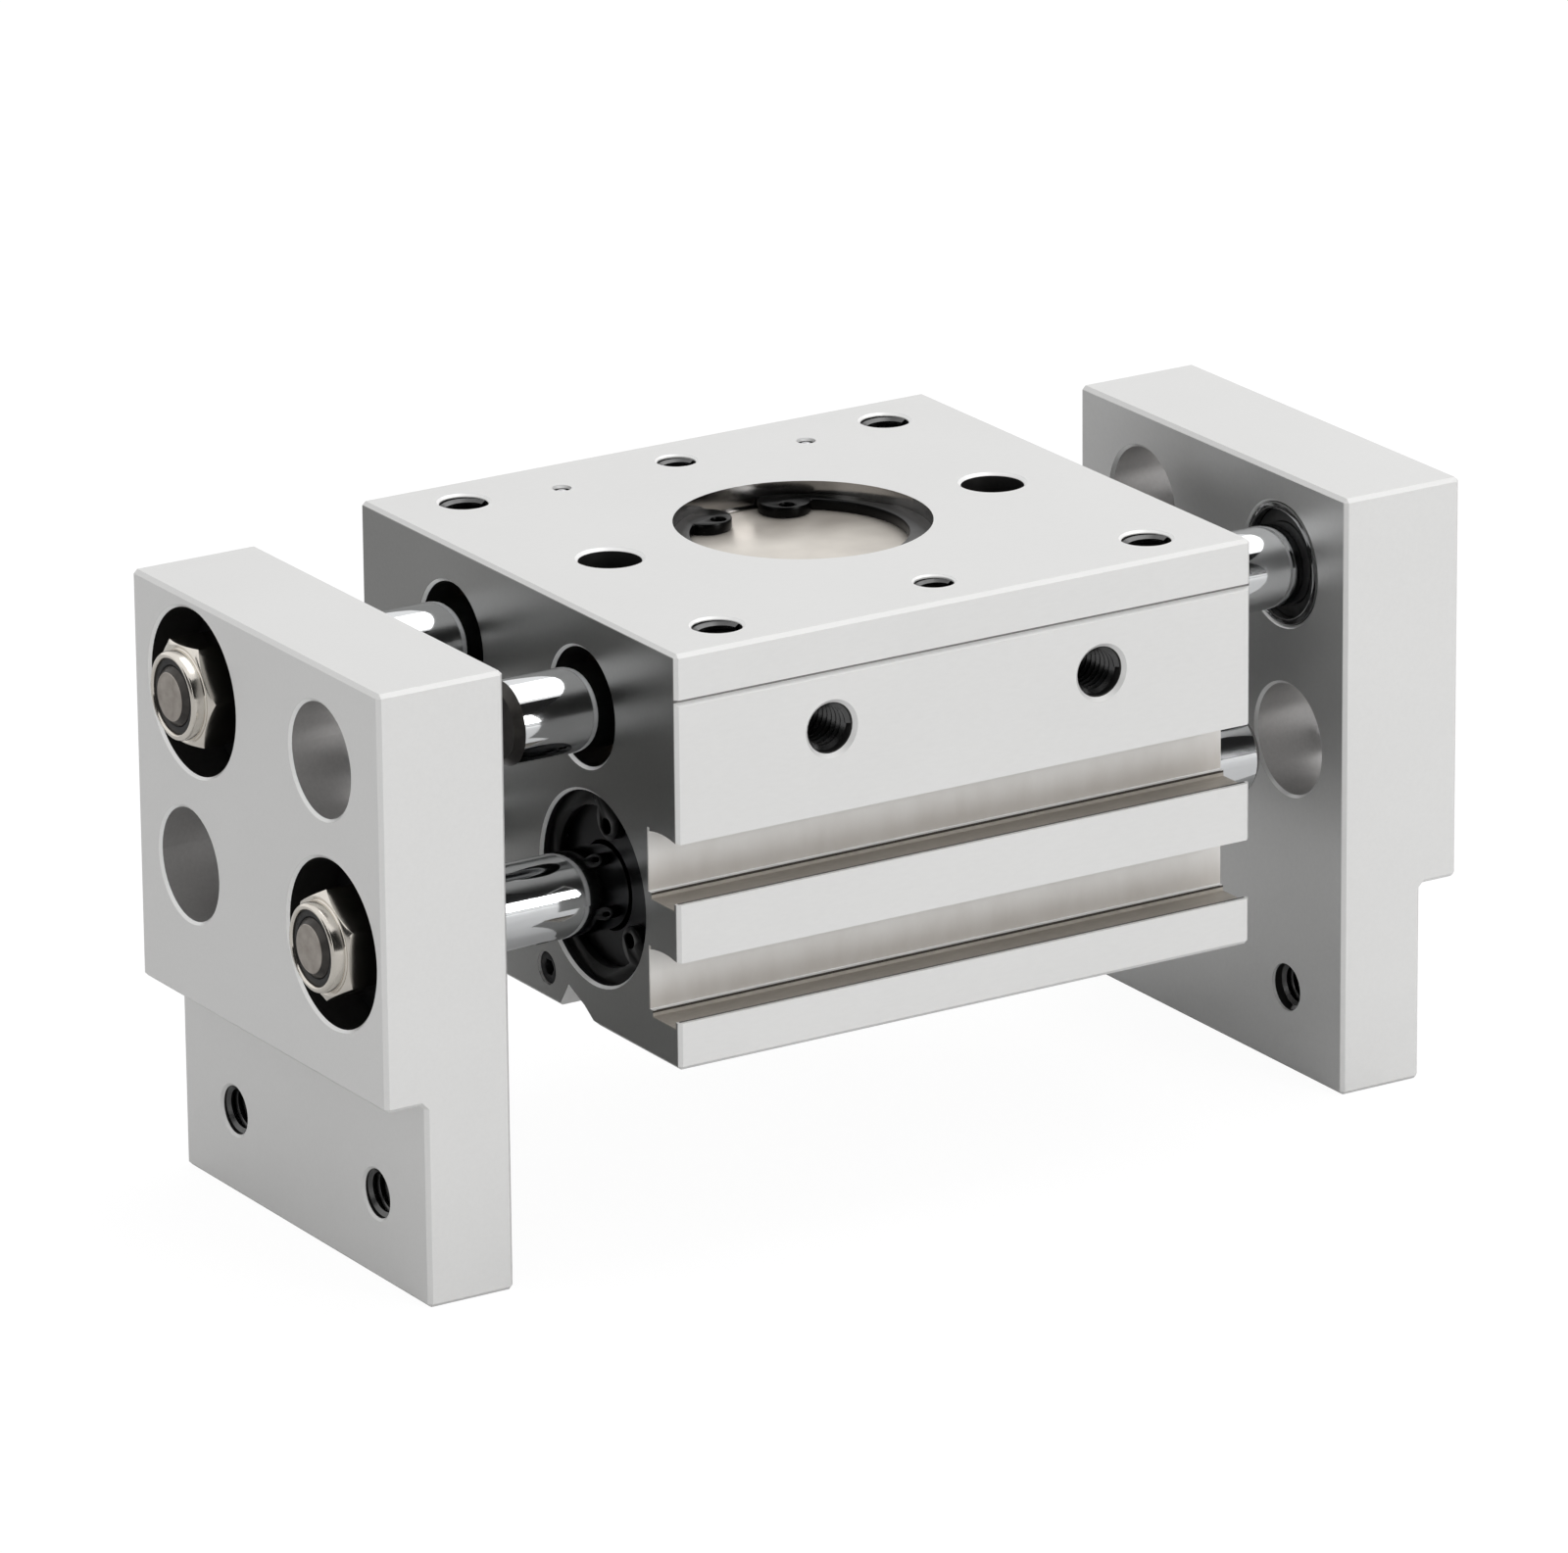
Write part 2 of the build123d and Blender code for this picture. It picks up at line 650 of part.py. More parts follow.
# Pieces that move with each jaw
for side in SIDES:
    way = SIDES[side]

    # Finger: a block with a thinner tip, bored for its own rods and for the other jaw's
    with BuildPart() as finger:
        with BuildSketch(outward_plane(side, open_half_gap)):
            with Locations((0, -finger_drop)):
                Rectangle(finger_width, finger_bottom - finger_drop, align=(Align.CENTER, Align.MAX))
        extrude(amount=tip_thickness)
        with BuildSketch(outward_plane(side, open_half_gap)):
            with Locations((0, -finger_drop)):
                Rectangle(finger_width, finger_block_height, align=(Align.CENTER, Align.MAX))
        extrude(amount=finger_thickness)
        chamfer(finger.edges(), length=edge_break)
        with Locations(outward_plane(side, finger_outer)):
            with Locations(rack_place, piston_place):
                CounterBoreHole(
                    stud_hole_radius,
                    finger_counterbore_diameter / 2,
                    finger_counterbore_depth,
                    depth=finger_thickness,
                )
            with Locations(free_rack_place, free_piston_place):
                Hole(clearance_hole_diameter / 2, depth=finger_thickness)
        with BuildSketch(outward_plane(side, open_half_gap)):
            with Locations(rack_place, piston_place):
                Circle(finger_recess_diameter / 2)
        extrude(amount=finger_recess_depth, mode=Mode.SUBTRACT)
        for face_distance, own_diameter, inward in (
            (finger_outer, finger_counterbore_diameter, -1),
            (open_half_gap, finger_recess_diameter, 1),
        ):
            with BuildSketch(outward_plane(side, face_distance)):
                with Locations(rack_place, piston_place):
                    Circle(own_diameter / 2 + hole_edge_break)
                with Locations(free_rack_place, free_piston_place):
                    Circle(clearance_hole_diameter / 2 + hole_edge_break)
            extrude(amount=inward * hole_edge_break, taper=mouth_angle / 2, mode=Mode.SUBTRACT)
        with Locations(outward_plane(side, open_half_gap + tip_thickness)):
            with Locations((0, -finger_bottom + tip_hole_height)):
                with GridLocations(tip_hole_spacing, 1, 2, 1):
                    CounterSinkHole(
                        tip_thread_diameter / 2,
                        tip_hole_mouth_diameter / 2,
                        depth=tip_thickness,
                        counter_sink_angle=mouth_angle,
                    )
    finger.part.label = side + "_finger"
    export_step(finger.part, "parts/" + side + "_finger.step")

    # Rack: a round bar with teeth cut on the side that faces the pinion
    with BuildPart() as rack:
        with BuildSketch(outward_plane(side, rod_shoulder)):
            with Locations(rack_place):
                Circle(rod_radius)
        extrude(amount=-(rod_shoulder + free_end))
        chamfer(rack.faces().sort_by(Axis.X)[-1 if way < 0 else 0].edges(), length=rod_end_chamfer)
        with BuildSketch(outward_plane(side, rod_shoulder)):
            with Locations(rack_place):
                Circle(stud_diameter / 2)
        extrude(amount=stud_length)
        chamfer(rack.faces().sort_by(Axis.X)[0 if way < 0 else -1].edges(), length=stud_chamfer)
        mesh_plane = Plane(origin=(0, 0, -rack_drop), x_dir=(way, 0, 0), z_dir=(0, 0, 1))
        with BuildSketch(mesh_plane):
            with Locations((jaw_stroke / 2, -rack_tip_line)):
                Rectangle(
                    jaw_stroke + 2 * rack_reach,
                    rack_tip_line - rack_rod_inside + rack_run_out,
                    align=(Align.CENTER, Align.MIN),
                )
            with Locations([(tooth_pitch * number, 0) for number in range(first_space, last_space + 1)]):
                Polygon(*space_outline, align=None)
        extrude(amount=rod_radius, both=True, mode=Mode.SUBTRACT)
    rack.part.label = side + "_rack"
    export_step(rack.part, "parts/" + side + "_rack.step")

    # Piston rod: a plain bar through both rod covers
    with BuildPart() as piston_rod:
        with BuildSketch(outward_plane(side, rod_shoulder)):
            with Locations(piston_place):
                Circle(rod_radius)
        extrude(amount=-(rod_shoulder + free_end))
        chamfer(piston_rod.faces().sort_by(Axis.X)[-1 if way < 0 else 0].edges(), length=rod_end_chamfer)
        with BuildSketch(outward_plane(side, rod_shoulder)):
            with Locations(piston_place):
                Circle(stud_diameter / 2)
        extrude(amount=stud_length)
        chamfer(piston_rod.faces().sort_by(Axis.X)[0 if way < 0 else -1].edges(), length=stud_chamfer)
    piston_rod.part.label = side + "_piston_rod"
    export_step(piston_rod.part, "parts/" + side + "_piston_rod.step")

    # Piston with grooves for two seals and, next to them, a magnet and a wear ring
    seal_middle = piston_length / 2 - piston_seal_inset - piston_seal_width / 2
    land_edge = seal_middle - piston_seal_width / 2 - piston_land
    magnet_middle = piston_middle + land_edge - magnet_width / 2
    wear_ring_middle = piston_middle - land_edge + wear_ring_width / 2
    seal_floor = cylinder_radius - seal_clearance - piston_seal_height
    magnet_floor = piston_radius - magnet_height
    wear_ring_floor = cylinder_radius - seal_clearance - wear_ring_height
    seal_grooves = [
        (piston_middle + seal_middle, piston_seal_width, seal_floor),
        (piston_middle - seal_middle, piston_seal_width, seal_floor),
    ]
    grooves = seal_grooves + [
        (magnet_middle, magnet_width, magnet_floor),
        (wear_ring_middle, wear_ring_width, wear_ring_floor),
    ]
    with BuildPart() as piston:
        with BuildSketch(outward_plane(side, piston_end)):
            with Locations(piston_place):
                Circle(piston_radius)
                Circle(rod_radius, mode=Mode.SUBTRACT)
        extrude(amount=-piston_length)
        for middle, width, floor_radius in grooves:
            with BuildSketch(outward_plane(side, middle + width / 2 + fixed_clearance)):
                with Locations(piston_place):
                    Circle(cylinder_radius)
                    Circle(floor_radius - fixed_clearance, mode=Mode.SUBTRACT)
            extrude(amount=-width - 2 * fixed_clearance, mode=Mode.SUBTRACT)
    piston.part.label = side + "_piston"
    export_step(piston.part, "parts/" + side + "_piston.step")

    with BuildPart() as piston_seals:
        for middle, width, floor_radius in seal_grooves:
            with BuildSketch(outward_plane(side, middle + width / 2)):
                with Locations(piston_place):
                    Circle(cylinder_radius - seal_clearance)
                    Circle(floor_radius, mode=Mode.SUBTRACT)
            extrude(amount=-width)
    piston_seals.part.label = side + "_piston_seals"
    export_step(piston_seals.part, "parts/" + side + "_piston_seals.step")

    with BuildPart() as magnet:
        with BuildSketch(outward_plane(side, magnet_middle + magnet_width / 2)):
            with Locations(piston_place):
                Circle(piston_radius)
                Circle(magnet_floor, mode=Mode.SUBTRACT)
        extrude(amount=-magnet_width)
    magnet.part.label = side + "_magnet"
    export_step(magnet.part, "parts/" + side + "_magnet.step")

    with BuildPart() as wear_ring:
        with BuildSketch(outward_plane(side, wear_ring_middle + wear_ring_width / 2)):
            with Locations(piston_place):
                Circle(cylinder_radius - seal_clearance)
                Circle(wear_ring_floor, mode=Mode.SUBTRACT)
        extrude(amount=-wear_ring_width)
    wear_ring.part.label = side + "_wear_ring"
    export_step(wear_ring.part, "parts/" + side + "_wear_ring.step")

    # Washers and self-locking nuts in the finger's counterbores
    with BuildPart() as rod_washers:
        with BuildSketch(outward_plane(side, counterbore_floor)):
            with Locations(rack_place, piston_place):
                Circle(washer_diameter / 2)
                Circle(stud_hole_radius, mode=Mode.SUBTRACT)
        extrude(amount=washer_thickness)
    rod_washers.part.label = side + "_rod_washers"
    export_step(rod_washers.part, "parts/" + side + "_rod_washers.step")

    with BuildPart() as rod_nuts:
        with BuildSketch(outward_plane(side, washer_outer)):
            with Locations(rack_place, piston_place):
                RegularPolygon(nut_width / 2, 6, major_radius=False)
        extrude(amount=nut_hex_height)
        with BuildSketch(outward_plane(side, washer_outer + nut_hex_height)):
            with Locations(rack_place, piston_place):
                Circle(nut_collar_diameter / 2)
        extrude(amount=nut_collar_height)
        with BuildSketch(outward_plane(side, washer_outer)):
            with Locations(rack_place, piston_place):
                Circle(stud_diameter / 2)
        extrude(amount=nut_hex_height + nut_collar_height, mode=Mode.SUBTRACT)
    rod_nuts.part.label = side + "_rod_nuts"
    export_step(rod_nuts.part, "parts/" + side + "_rod_nuts.step")

    # Cup collars round the rods in the finger's inner face, and the wipers in them
    collar_radius = finger_recess_diameter / 2 - fixed_clearance
    with BuildPart() as rod_collars:
        with BuildSketch(outward_plane(side, rod_shoulder)):
            with Locations(rack_place, piston_place):
                Circle(collar_radius)
                Circle(rod_radius + fixed_clearance, mode=Mode.SUBTRACT)
        extrude(amount=-collar_base)
        with BuildSketch(outward_plane(side, rod_shoulder - collar_base)):
            with Locations(rack_place, piston_place):
                Circle(collar_radius)
                Circle(collar_radius - collar_wall, mode=Mode.SUBTRACT)
        extrude(amount=-(finger_recess_depth - collar_base))
    rod_collars.part.label = side + "_rod_collars"
    export_step(rod_collars.part, "parts/" + side + "_rod_collars.step")

    with BuildPart() as rod_wipers:
        with BuildSketch(outward_plane(side, rod_shoulder - collar_base)):
            with Locations(rack_place, piston_place):
                Circle(collar_radius - collar_wall)
                Circle(rod_radius, mode=Mode.SUBTRACT)
        extrude(amount=-(finger_recess_depth - collar_base - wiper_inset))
    rod_wipers.part.label = side + "_rod_wipers"
    export_step(rod_wipers.part, "parts/" + side + "_rod_wipers.step")
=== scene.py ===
import bpy
import json
from math import cos, pi, radians
from mathutils import Matrix, Vector


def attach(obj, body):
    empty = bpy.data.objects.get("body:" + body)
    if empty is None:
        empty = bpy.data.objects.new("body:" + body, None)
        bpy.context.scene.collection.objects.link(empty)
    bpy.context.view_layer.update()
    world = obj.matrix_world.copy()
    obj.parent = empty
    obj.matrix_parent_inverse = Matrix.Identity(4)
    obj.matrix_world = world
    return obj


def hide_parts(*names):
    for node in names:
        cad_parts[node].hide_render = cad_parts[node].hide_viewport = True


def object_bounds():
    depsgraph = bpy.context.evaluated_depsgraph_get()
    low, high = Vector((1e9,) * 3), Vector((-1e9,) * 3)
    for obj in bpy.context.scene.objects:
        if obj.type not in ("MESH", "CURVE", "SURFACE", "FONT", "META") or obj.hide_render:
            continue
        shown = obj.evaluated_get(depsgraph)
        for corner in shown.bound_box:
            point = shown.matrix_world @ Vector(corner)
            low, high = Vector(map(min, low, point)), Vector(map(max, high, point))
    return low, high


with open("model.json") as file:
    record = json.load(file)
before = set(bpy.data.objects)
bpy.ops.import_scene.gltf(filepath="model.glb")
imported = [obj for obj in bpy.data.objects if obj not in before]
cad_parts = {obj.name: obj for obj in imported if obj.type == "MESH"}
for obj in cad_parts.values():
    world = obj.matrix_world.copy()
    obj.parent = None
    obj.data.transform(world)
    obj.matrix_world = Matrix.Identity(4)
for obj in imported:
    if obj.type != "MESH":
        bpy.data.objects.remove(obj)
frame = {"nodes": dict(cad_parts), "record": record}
cad_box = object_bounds()

# Wide-opening parallel gripper. Sizes are millimetres times MM, in the frame of the parts:
# X along the stroke, -Y the side with the air ports, +Z out of the mounting face.
MM = 0.001
SIDES = {"left": -1, "right": 1}

# Places across the stroke (Y, Z) on the right side; the left side has Y turned over
RACK_PLACE = (-12.5, -10.0)
PISTON_PLACE = (14.0, -28.3)
BETWEEN_ROD_ROWS = -19.0

# Faces of the body and the fingers; along X they are distances from the gripper's middle
BODY_END = 33.5
BODY_FRONT = -30.0
BODY_BOTTOM = -42.5
FINGER_INNER = 49.0
FINGER_OUTER = 63.0
FINGER_HALF_WIDTH = 24.0
TIP_OUTER = 58.6

# Washer seats and turned rod ends, also as distances from the gripper's middle
WASHER_FACE = 57.0
STUD_START = 54.0
STUD_FACE = 65.45
ROD_END_START = 42.36

# Sensor grooves in the front face
FIRST_GROOVE_TOP = -19.3
GROOVE_HEIGHT = 6.2
GROOVE_SPACING = 12.15

# Sizes of the washers, the self-locking nuts and the tapped holes
WASHER_THICKNESS = 1.4
WASHER_RADIUS = 8.2
STUD_RADIUS = 3.0
NUT_WIDTH = 10.0
NUT_HEIGHT = 6.9
NUT_CORNER_HEIGHT = 5.1
NUT_SHOULDER = 5.6
NUT_RIM_RADIUS = 3.8
M5 = (2.5, 0.8)
M4 = (2.0, 0.7)
THREAD_SEGMENTS = 32
THREAD_MOUTH = 0.25


def select_only(piece):
    """Nothing selected but this piece, which is also the active one."""
    bpy.ops.object.select_all(action="DESELECT")
    piece.select_set(True)
    bpy.context.view_layer.objects.active = piece


def enter_edit(piece):
    """Edit mode on one piece with all of it selected."""
    select_only(piece)
    bpy.ops.object.mode_set(mode="EDIT")
    bpy.ops.mesh.select_all(action="SELECT")


def leave_edit():
    bpy.ops.object.mode_set(mode="OBJECT")


def apply_modifier(piece, modifier):
    select_only(piece)
    bpy.ops.object.modifier_apply(modifier=modifier.name)


def settle(piece):
    """Moves a piece's place from its object into its mesh."""
    piece.data.transform(piece.matrix_world)
    piece.matrix_world = Matrix.Identity(4)


def smooth(piece, angle=35.0):
    select_only(piece)
    bpy.ops.object.shade_smooth_by_angle(angle=radians(angle))


def soften(piece, width, segments=2, angle=35.0):
    """Rounds over the sharp edges of a piece."""
    bevel = piece.modifiers.new("soft_edges", "BEVEL")
    bevel.width = width * MM
    bevel.segments = segments
    bevel.limit_method = "ANGLE"
    bevel.angle_limit = radians(angle)
    bevel.harden_normals = False
    apply_modifier(piece, bevel)


def turned(name, profile, segments=64):
    """A turned ring: points (distance along X, radius) spun once round the X axis."""
    bpy.ops.object.select_all(action="DESELECT")
    first_x, first_radius = profile[0]
    bpy.ops.mesh.primitive_circle_add(
        vertices=segments,
        radius=first_radius * MM,
        location=(first_x * MM, 0, 0),
        rotation=(0, pi / 2, 0),
    )
    piece = bpy.context.object
    piece.name = name
    settle(piece)
    enter_edit(piece)
    bpy.ops.mesh.select_mode(type="EDGE")
    bpy.ops.mesh.select_all(action="SELECT")
    x, radius = first_x, first_radius
    for next_x, next_radius in profile[1:] + profile[:1]:
        bpy.ops.mesh.extrude_edges_move()
        bpy.ops.transform.translate(value=((next_x - x) * MM, 0, 0))
        share = next_radius / radius
        bpy.ops.transform.resize(value=(1, share, share), center_override=(next_x * MM, 0, 0))
        x, radius = next_x, next_radius
    bpy.ops.mesh.select_all(action="SELECT")
    bpy.ops.mesh.remove_doubles(threshold=0.001 * MM)
    bpy.ops.mesh.normals_make_consistent(inside=False)
    bpy.ops.mesh.select_mode(type="VERT")
    leave_edit()
    return piece


def cut(piece, tool, operation):
    """Boolean cut or intersection with a tool that is then thrown away."""
    boolean = piece.modifiers.new("cut", "BOOLEAN")
    boolean.operation = operation
    boolean.object = tool
    boolean.solver = "EXACT"
    apply_modifier(piece, boolean)
    bpy.data.objects.remove(tool)


def copies(piece, name, places):
    """One piece made of copies of another, each put through its own matrix."""
    made = []
    for place in places:
        twin = piece.copy()
        twin.data = piece.data.copy()
        twin.data.transform(place)
        bpy.context.scene.collection.objects.link(twin)
        made.append(twin)
    select_only(made[0])
    for twin in made[1:]:
        twin.select_set(True)
    if len(made) > 1:
        bpy.ops.object.join()
    made[0].name = name
    return made[0]


def finish_piece(piece, body, material):
    """Gives a piece its material and its body."""
    piece.data.materials.clear()
    piece.data.materials.append(material)
    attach(piece, body)


def softened_copy(node, name, width, body):
    """Stands in for a frame node with the same shape and finish, but rounded edges."""
    piece = bpy.data.objects.new(name, frame["nodes"][node].data.copy())
    bpy.context.scene.collection.objects.link(piece)
    enter_edit(piece)
    bpy.ops.mesh.remove_doubles(threshold=0.001 * MM)
    bpy.ops.mesh.dissolve_limited(angle_limit=radians(1.0))
    bpy.ops.mesh.normals_make_consistent(inside=False)
    leave_edit()
    bpy.ops.mesh.customdata_custom_splitnormals_clear()
    soften(piece, width)
    smooth(piece)
    slot = node_slots[node]
    finish_piece(piece, body, SLOT_FINISHES[slot])
    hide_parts(node)


def wire(tree, start, end):
    tree.links.new(start, end)


def math_node(tree, operation, *values):
    """A maths node; each value is a number or the output of another node."""
    made = tree.nodes.new("ShaderNodeMath")
    made.operation = operation
    for number, value in enumerate(values):
        if isinstance(value, (int, float)):
            made.inputs[number].default_value = value
        else:
            wire(tree, value, made.inputs[number])
    return made.outputs[0]


def noise_node(tree, place, scale, detail=3.0, stretch=(1, 1, 1)):
    """Noise over a place, which may be stretched along the axes."""
    mapping = tree.nodes.new("ShaderNodeMapping")
    mapping.inputs["Scale"].default_value = stretch
    wire(tree, place, mapping.inputs["Vector"])
    noise = tree.nodes.new("ShaderNodeTexNoise")
    noise.inputs["Scale"].default_value = scale
    noise.inputs["Detail"].default_value = detail
    wire(tree, mapping.outputs["Vector"], noise.inputs["Vector"])
    return noise.outputs["Fac"]


def mix_colours(tree, share, first, second):
    """Mix of two colours; each is a colour or the output of another node."""
    mix = tree.nodes.new("ShaderNodeMix")
    mix.data_type = "RGBA"
    wire(tree, share, mix.inputs[0])
    for socket, value in ((mix.inputs[6], first), (mix.inputs[7], second)):
        if isinstance(value, tuple):
            socket.default_value = (*value, 1.0)
        else:
            wire(tree, value, socket)
    return mix.outputs[2]


def spread(tree, value, low, high):
    """Maps a noise value to the range from low to high."""
    ramp = tree.nodes.new("ShaderNodeMapRange")
    ramp.inputs["From Min"].default_value = 0.25
    ramp.inputs["From Max"].default_value = 0.75
    ramp.inputs["To Min"].default_value = low
    ramp.inputs["To Max"].default_value = high
    wire(tree, value, ramp.inputs["Value"])
    return ramp.outputs["Result"]


def new_material(name):
    """A node material, its tree, its shader and the piece's own coordinates."""
    material = bpy.data.materials.new(name)
    material.use_nodes = True
    tree = material.node_tree
    shader = tree.nodes["Principled BSDF"]
    coordinates = tree.nodes.new("ShaderNodeTexCoord").outputs["Object"]
    return material, tree, shader, coordinates


def add_bump(tree, shader, height, strength, distance):
    bump = tree.nodes.new("ShaderNodeBump")
    bump.inputs["Strength"].default_value = strength
    bump.inputs["Distance"].default_value = distance * MM
    wire(tree, height, bump.inputs["Height"])
    wire(tree, bump.outputs["Normal"], shader.inputs["Normal"])


def metal(name, light, dark, roughness, grain=900.0, stretch=(1, 1, 1), bump=0.1, metallic=1.0):
    """A metal whose tone and roughness wander a little over a fine grain."""
    material, tree, shader, place = new_material(name)
    fine = noise_node(tree, place, grain, 4.0, stretch)
    broad = noise_node(tree, place, 60.0, 2.0)
    both = math_node(tree, "MULTIPLY_ADD", fine, 0.5, math_node(tree, "MULTIPLY", broad, 0.5))
    colour = mix_colours(tree, spread(tree, both, 0.0, 1.0), dark, light)
    wire(tree, colour, shader.inputs["Base Color"])
    wire(tree, spread(tree, fine, roughness * 0.9, roughness * 1.1), shader.inputs["Roughness"])
    shader.inputs["Metallic"].default_value = metallic
    add_bump(tree, shader, fine, bump, 0.02)
    return material


def rubber(name, colour, roughness):
    """Rubber or plastic with a matt, slightly uneven skin."""
    material, tree, shader, place = new_material(name)
    grain = noise_node(tree, place, 2500.0, 3.0)
    lighter = tuple(min(1.0, channel * 1.5 + 0.01) for channel in colour)
    skin = mix_colours(tree, spread(tree, grain, 0.0, 1.0), colour, lighter)
    wire(tree, skin, shader.inputs["Base Color"])
    wire(tree, spread(tree, grain, roughness * 0.9, roughness), shader.inputs["Roughness"])
    shader.inputs["Specular IOR Level"].default_value = 0.4
    add_bump(tree, shader, grain, 0.15, 0.02)
    return material


def inside(tree, value, low, high):
    """1 where a value in metres lies between two places in millimetres, and 0 elsewhere."""
    middle = (low + high) / 2 * MM
    reach = (high - low) / 2 * MM
    return math_node(tree, "COMPARE", value, middle, reach)


def product(tree, *values):
    """Product of several outputs."""
    result = values[0]
    for value in values[1:]:
        result = math_node(tree, "MULTIPLY", result, value)
    return result


# Aluminium surfaces, painted shade and painted highlights among them: lighter tone, darker tone,
# roughness and metallic share of each finish
ANODISED = ((0.75, 0.748, 0.74), (0.71, 0.708, 0.70), 0.34, 0.2)
# Painted highlight: near-white tone on the chamfered mouths of holes, standing for the light they
# catch
EDGE_HIGHLIGHT = ((0.93, 0.93, 0.92), (0.88, 0.88, 0.87), 0.3, 0.3)
# Smooth bored wall of the pilot bore, its dark tone painted shade of the bore
SHADED_BORED_WALL = ((0.42, 0.41, 0.40), (0.34, 0.33, 0.32), 0.16, 1.0)
# Painted shade: the body's end faces darkened for the shade in the gap to the fingers
END_FACE_SHADE = ((0.30, 0.30, 0.295), (0.26, 0.26, 0.255), 0.31, 1.0)
# Milled inner faces of the fingers, their darker tone painted shade of the gap to the body
SHADED_MILLED_FACE = ((0.64, 0.64, 0.635), (0.58, 0.58, 0.575), 0.38, 0.7)
# Painted shade: near-black walls inside the holes and bores
HOLE_WALL_SHADE = ((0.04, 0.039, 0.038), (0.025, 0.024, 0.023), 0.35, 0.6)
REAMED = ((0.62, 0.61, 0.605), (0.50, 0.495, 0.49), 0.32, 0.7)
# Painted shade: near-black walls of the counterbores round the nuts
COUNTERBORE_SHADE = ((0.04, 0.039, 0.038), (0.025, 0.024, 0.023), 0.32, 0.6)
GROOVE_WALL = ((0.72, 0.705, 0.68), (0.54, 0.51, 0.475), 0.4, 0.2)
GROOVE_CHANNEL = ((0.50, 0.465, 0.42), (0.31, 0.285, 0.25), 0.45, 0.4)
# Painted shade: the nearly black rear wall of the channel at the foot of each sensor groove
GROOVE_STEP_SHADE = ((0.05, 0.042, 0.034), (0.03, 0.025, 0.02), 0.45, 0.4)
SCRIBED_SHADE = ((0.17, 0.165, 0.16), (0.13, 0.125, 0.12), 0.4, 0.4)

# Boxes in which those finishes lie: from and to (distance from the middle, Y, Z)
BODY_ZONES = [
    (END_FACE_SHADE, [((BODY_END - 0.05, BODY_FRONT, BODY_BOTTOM), (BODY_END + 0.05, -BODY_FRONT, 0.0))]),
    (HOLE_WALL_SHADE, [((0, -29.6, -39.5), (BODY_END - 0.35, 29.6, -0.35))]),
    (
        EDGE_HIGHLIGHT,
        [
            ((0, -29.5, -0.33), (33.0, 29.5, -0.02)),
            ((BODY_END - 0.34, -24.3, -40.0), (BODY_END - 0.02, 28.5, -1.5)),
        ],
    ),
    (SHADED_BORED_WALL, [((0, -14.5, -3.2), (14.5, 14.5, -0.02))]),
    (SCRIBED_SHADE, [((0, BODY_FRONT - 0.05, -4.94), (34.0, BODY_FRONT + 0.4, -4.62))]),
]
for number in range(2):
    groove_floor = FIRST_GROOVE_TOP - number * GROOVE_SPACING - GROOVE_HEIGHT
    groove_top = groove_floor + GROOVE_HEIGHT
    BODY_ZONES += [
        (GROOVE_WALL, [((0, -24.9, groove_floor - 0.02), (34.0, -24.5, groove_top + 0.4))]),
        (GROOVE_CHANNEL, [((0, -29.4, groove_floor - 0.7), (34.0, -25.1, groove_floor - 0.02))]),
        (GROOVE_STEP_SHADE, [((0, -25.25, groove_floor - 0.24), (34.0, -25.1, groove_floor - 0.02))]),
        (ANODISED, [((0, -25.15, groove_floor - 0.02), (34.0, -24.5, groove_floor + 0.08))]),
    ]


def hole_box(place, reach):
    """Box round a hole through a finger, between the broken edges of its two mouths."""
    y, z = place
    mouth = 0.32
    low = (FINGER_INNER + mouth, y - reach, z - reach)
    high = (FINGER_OUTER - mouth, y + reach, z + reach)
    return low, high


# The same for a finger, with Y turned over on the left one
FINGER_ZONES = [
    (
        SHADED_MILLED_FACE,
        [
            (
                (FINGER_INNER - 0.05, -FINGER_HALF_WIDTH, -64.0),
                (FINGER_INNER + 0.05, FINGER_HALF_WIDTH, 0.0),
            ),
        ],
    ),
    (
        EDGE_HIGHLIGHT,
        [
            ((FINGER_INNER + 0.02, -22.9, -62.0), (FINGER_INNER + 0.34, 22.9, -1.2)),
            ((FINGER_OUTER - 0.32, -22.9, -38.0), (FINGER_OUTER - 0.02, 22.9, -1.2)),
        ],
    ),
    (HOLE_WALL_SHADE, [((FINGER_INNER + 0.32, -23.0, -63.0), (TIP_OUTER - 0.3, 23.0, -43.5))]),
    (COUNTERBORE_SHADE, [hole_box(place, 8.7) for place in (RACK_PLACE, PISTON_PLACE)]),
    (REAMED, [hole_box((-y, z), 6.0) for y, z in (RACK_PLACE, PISTON_PLACE)]),
]


def change(tree, share, old, new):
    """Goes from an old value to a new one as the share goes from 0 to 1."""
    difference = math_node(tree, "SUBTRACT", new, old)
    return math_node(tree, "MULTIPLY_ADD", share, difference, old)


def groove_fade(tree, place, z):
    """Falls from 1 at the top of a sensor groove's wall to 0 at its foot, a little unevenly, so that
    the wall turns darker towards the foot.
    """
    below = math_node(tree, "MULTIPLY_ADD", z, -1.0, FIRST_GROOVE_TOP * MM)
    depth = math_node(tree, "MODULO", below, GROOVE_SPACING * MM)
    fade = tree.nodes.new("ShaderNodeMapRange")
    fade.interpolation_type = "SMOOTHSTEP"
    fade.inputs["From Min"].default_value = 0.3 * GROOVE_HEIGHT * MM
    fade.inputs["From Max"].default_value = GROOVE_HEIGHT * MM
    wire(tree, depth, fade.inputs["Value"])
    unevenness = spread(tree, noise_node(tree, place, 420.0, 4.0, (1, 1, 0.4)), -0.18, 0.18)
    return math_node(tree, "SUBTRACT", 1.0, math_node(tree, "ADD", fade.outputs["Result"], unevenness))


